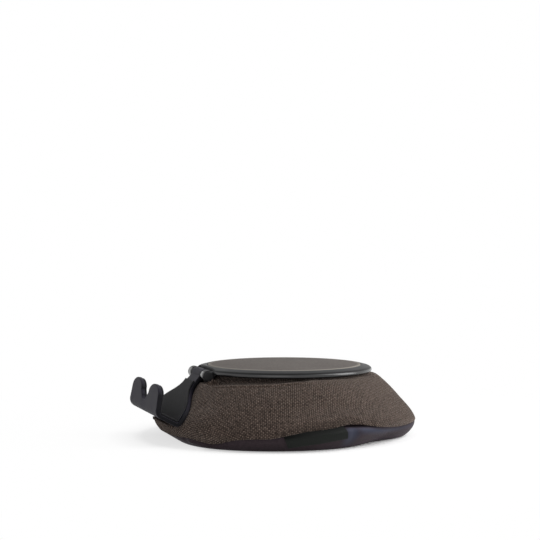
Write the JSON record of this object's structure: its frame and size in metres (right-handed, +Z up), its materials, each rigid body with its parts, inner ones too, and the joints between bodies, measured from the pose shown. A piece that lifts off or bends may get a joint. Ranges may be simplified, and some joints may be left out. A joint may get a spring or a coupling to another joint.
{
  "type": "beanbag tablet stand",
  "caption": "Round bead-filled bag under a flat padded top plate, with a forked front cradle on a friction hinge that holds a tablet upright or tilted back.",
  "frame": {"origin": "centre of the flat resting face, on the table under the middle of the top plate", "axes": "+Z up, -Y towards the user and the cradle, +X to the right for someone facing the stand from the front, the side that carries the label"},
  "size_m": [0.1472, 0.154, 0.0396],
  "materials": {
    "plate_plastic": "satin charcoal moulded plastic",
    "pad_rubber": "matte warm grey",
    "adhesive": "double-sided tape",
    "clamp_plastic": "plain moulded plastic",
    "steel": "zinc plated",
    "canvas": "coarse brown-grey weave",
    "base_fabric": "smooth dark fabric",
    "beads": "loose plastic beads",
    "label_tape": "folded woven tape, bare",
    "cradle_plastic": "soft-touch charcoal",
    "liner_rubber": "matte black"
  },
  "bodies": {
    "base": {"top_plate": "plate_plastic", "grip_pad": "pad_rubber", "pad_adhesive": "adhesive", "retaining_ring": "clamp_plastic", "clamp_screw_1": "steel", "clamp_screw_2": "steel", "clamp_screw_3": "steel", "clamp_screw_4": "steel", "clamp_screw_5": "steel", "clamp_screw_6": "steel", "bag_cover_upper": "canvas", "bag_cover_base": "base_fabric", "bead_fill": "beads", "side_label": "label_tape", "hinge_pin": "steel", "friction_washer_left": "steel", "friction_washer_right": "steel", "pin_cap_left": "plate_plastic", "pin_cap_right": "plate_plastic"},
    "cradle": {"cradle_arm": "cradle_plastic", "cradle_liner": "liner_rubber"}
  },
  "joints": [
    {"name": "cradle_tilt", "type": "hinge", "parent": "base", "child": "cradle", "pos_m": [0, -0.0478, 0.0352], "axis": [-1, 0, 0], "range_deg": [0, 60]}
  ]
}
